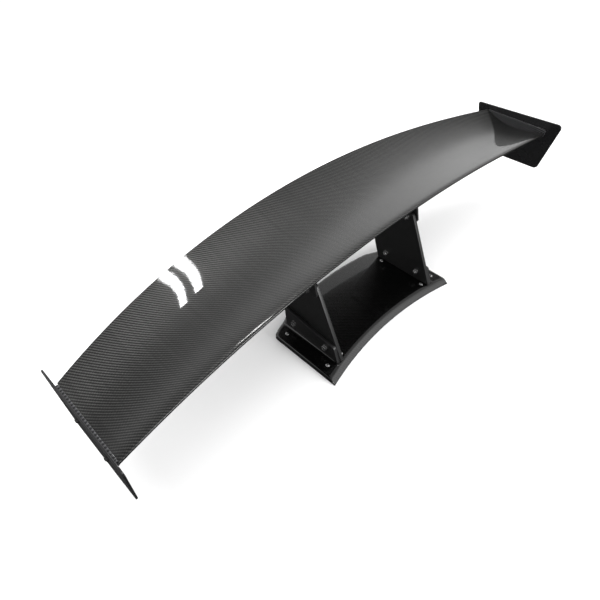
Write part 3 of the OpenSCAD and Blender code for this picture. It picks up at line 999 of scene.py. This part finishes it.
def panel_cutters():
    """The slots that the flanges rise through, and the holes of the base screws."""
    cutters = []
    inner, outer = FLANGE_X[0] - SIDE_GAP, FLANGE_X[1] + SIDE_GAP
    front, rear = -89.5, 96
    for side in (1, -1):
        slot = [(inner, front), (outer, front), (outer, rear), (inner, rear)]
        build = Build()
        build.loft([[(side * x, y, z) for x, y in slot] for z in (7, 40)])
        cutter = build.mesh("slot")
        tidy(cutter)
        cutters.append(cutter)
        cutters += [peg(upright_at(side * x, y, 0), M6_HOLE, 10, 30) for x, y in BASE_SCREWS]
    return cutters


def make_base_panel():
    data = cut(panel_shell(), panel_cutters())
    tidy(data, 30, PANEL_WELD)
    add_piece("base_panel_moulding", data, "root", CARBON_SHADED_BASE, "base_panel")


make_base_panel()


def base_screws(build, side):
    for x, y in BASE_SCREWS:
        z = panel_top(x, y)
        button_screw(build, upright_at(side * x, y, z + 0.05) @ turned(side, (y, x)), z - 3.2)


fastener_set("base_screw_set", "base_screws", "root", BRIGHT, base_screws)


# ---------------------------------------------------------------- CAD nodes kept inside

def dress(node, material):
    data = frame["nodes"][node].data
    data.materials.clear()
    data.materials.append(material)


LAMINATE, ALLOY = bare_laminate(), raw_alloy()
for node in ("front_spar", "rear_spar"):
    dress(node, LAMINATE)
for node in ("mount_block_left", "mount_block_right"):
    dress(node, ALLOY)
dress("pivot_bushes", bronze())


# ---------------------------------------------------------------- floor, light and camera

def make_floor():
    build = Build()
    reach = 14000
    build.loft([[(-reach, -reach, z), (reach, -reach, z), (reach, reach, z), (-reach, reach, z)]
                for z in (-20, -0.2)])
    data = build.mesh("studio_floor")
    tidy(data)
    floor = bpy.data.objects.new("studio_floor", data)
    bpy.context.scene.collection.objects.link(floor)
    s = Shader("floor_paper")
    tint = s.blend(s.noise(2.0, 2.0), (0.90, 0.90, 0.90, 1), (0.93, 0.93, 0.93, 1))
    s.set(Base_Color=tint, Roughness=0.9, Specular_IOR_Level=0.0)
    data.materials.append(s.owner)
    floor.visible_glossy = False


def make_world():
    """Soft white dome, brighter low down, over a dark ground that only reflections see."""
    s = Shader("studio", world=True)
    bpy.context.scene.world = s.owner
    way = s.node("ShaderNodeSeparateXYZ", {0: s.node("ShaderNodeTexCoord").outputs["Generated"]})
    tones = [(0.0, 0.05), (0.44, 0.10), (0.485, 1.0), (0.70, 1.7), (0.78, 0.95), (0.87, 0.70),
             (1.0, 0.55)]
    dome = s.ramp(s.math("MULTIPLY_ADD", way.outputs[2], 0.5, 0.5),
                  [(height, (tone, tone, tone)) for height, tone in tones])
    # the car's left is the brighter side of the studio
    left = s.node("ShaderNodeClamp", {0: way.outputs[0]}).outputs[0]
    s.set(Color=dome, Strength=s.math("MULTIPLY_ADD", s.math("POWER", left, 4.0), 1.2, 0.9))


def soft_box(name, place, target, size, power):
    """A large lamp that gloss doesn't mirror."""
    light = bpy.data.lights.new(name, "AREA")
    light.shape = "RECTANGLE"
    light.size, light.size_y = size
    light.energy = power
    obj = bpy.data.objects.new(name, light)
    obj.location = place
    obj.rotation_euler = (Vector(target) - Vector(place)).to_track_quat("-Z", "Y").to_euler()
    obj.visible_glossy = False
    bpy.context.scene.collection.objects.link(obj)


AIM = Vector((-0.3, 0.1, 0.27))    # a place on the wing's right half, which the camera is nearest


def strip_light(name, start, end, width, glow):
    """A long lamp between two points, turned to face the wing. glow is its radiance."""
    start, end = Vector(start), Vector(end)
    middle, along = (start + end) / 2, end - start
    light = bpy.data.lights.new(name, "AREA")
    light.shape = "RECTANGLE"
    light.size, light.size_y = along.length, width
    light.energy = glow * math.pi * along.length * width
    back = middle - AIM
    side = along.normalized()
    up = back.cross(side).normalized()
    turn = Matrix((side, up, side.cross(up))).transposed()
    obj = bpy.data.objects.new(name, light)
    obj.matrix_world = Matrix.Translation(middle) @ turn.to_4x4()
    bpy.context.scene.collection.objects.link(obj)


def make_camera():
    camera = bpy.data.cameras.new("camera")
    camera.sensor_width = 36.0
    camera.lens = 28.43
    camera.shift_x = 0.0091
    camera.shift_y = 0.0090
    camera.clip_end = 100
    obj = bpy.data.objects.new("camera", camera)
    obj.location = (-0.780, -0.500, 0.995)
    obj.rotation_euler = [math.radians(a) for a in (42.53, -0.11, -45.23)]
    bpy.context.scene.collection.objects.link(obj)
    bpy.context.scene.camera = obj


make_floor()
make_world()
soft_box("overhead", (0.0, 0.1, 3.2), (0, 0.1, 0), (4.5, 4.5), 100)
strip_light("ceiling_strip_a", (0.38, 0.32, 2.05), (0.235, 1.03, 2.05), 0.045, 65)
strip_light("ceiling_strip_b", (0.465, 0.31, 2.05), (0.36, 1.03, 2.05), 0.055, 65)
strip_light("front_card", (0.1, -2.6, 0.7), (1.3, -2.5, 0.7), 0.8, 16)
make_camera()
bpy.context.scene.view_settings.view_transform = "Standard"
